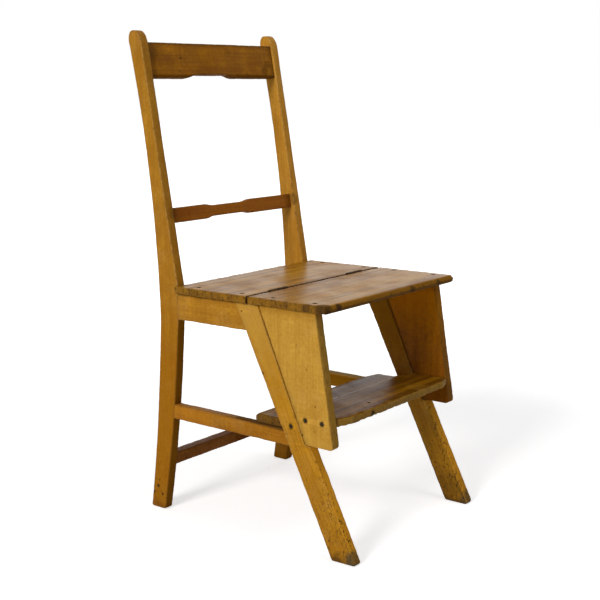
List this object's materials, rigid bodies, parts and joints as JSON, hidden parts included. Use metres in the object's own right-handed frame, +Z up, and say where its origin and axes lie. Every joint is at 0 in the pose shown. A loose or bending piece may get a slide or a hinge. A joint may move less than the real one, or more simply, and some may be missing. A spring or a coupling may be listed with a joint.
{
  "type": "library step chair",
  "caption": "Wooden side chair with a ladder back whose front seat half, side boards and step swing up and over on hinges to make a short flight of steps.",
  "frame": {"origin": "on the floor, at the middle of the bounding box of the chair", "axes": "+Z up, -Y towards the front of the chair, +X towards the right of a viewer who faces the front"},
  "size_m": [0.413, 0.5158, 0.921],
  "materials": {
    "frame_wood": "worn honey varnish",
    "rail_wood": "worn amber varnish",
    "seat_wood": "rubbed varnish",
    "tread_wood": "scuffed dark varnish",
    "peg_wood": "varnished",
    "screw_steel": "dark oxidised",
    "hinge_steel": "dull steel"
  },
  "bodies": {
    "base": {"right_rear_post": "frame_wood", "left_rear_post": "frame_wood", "crest_rail": "rail_wood", "back_rail": "rail_wood", "right_seat_rail": "frame_wood", "left_seat_rail": "frame_wood", "rear_seat_rail": "frame_wood", "front_seat_rail": "frame_wood", "right_front_leg": "frame_wood", "left_front_leg": "frame_wood", "right_side_stretcher": "frame_wood", "left_side_stretcher": "frame_wood", "rear_stretcher": "frame_wood", "lower_tread": "tread_wood", "rear_seat_board": "seat_wood", "rear_seat_screws": "screw_steel", "tread_screws": "screw_steel", "seat_rail_pegs": "peg_wood", "left_hinge_fixed_leaf": "hinge_steel", "right_hinge_fixed_leaf": "hinge_steel", "left_hinge_pin": "hinge_steel", "right_hinge_pin": "hinge_steel", "hinge_fixed_screws": "hinge_steel"},
    "step_flap": {"front_seat_board": "seat_wood", "right_cheek": "frame_wood", "left_cheek": "frame_wood", "folding_step": "tread_wood", "front_seat_screws": "screw_steel", "step_screws": "screw_steel", "left_hinge_moving_leaf": "hinge_steel", "right_hinge_moving_leaf": "hinge_steel", "hinge_moving_screws": "hinge_steel"}
  },
  "joints": [
    {"name": "step_fold", "type": "hinge", "parent": "base", "child": "step_flap", "pos_m": [0, -0.0304, 0.4504], "axis": [-1, 0, 0], "range_deg": [0, 180]}
  ]
}
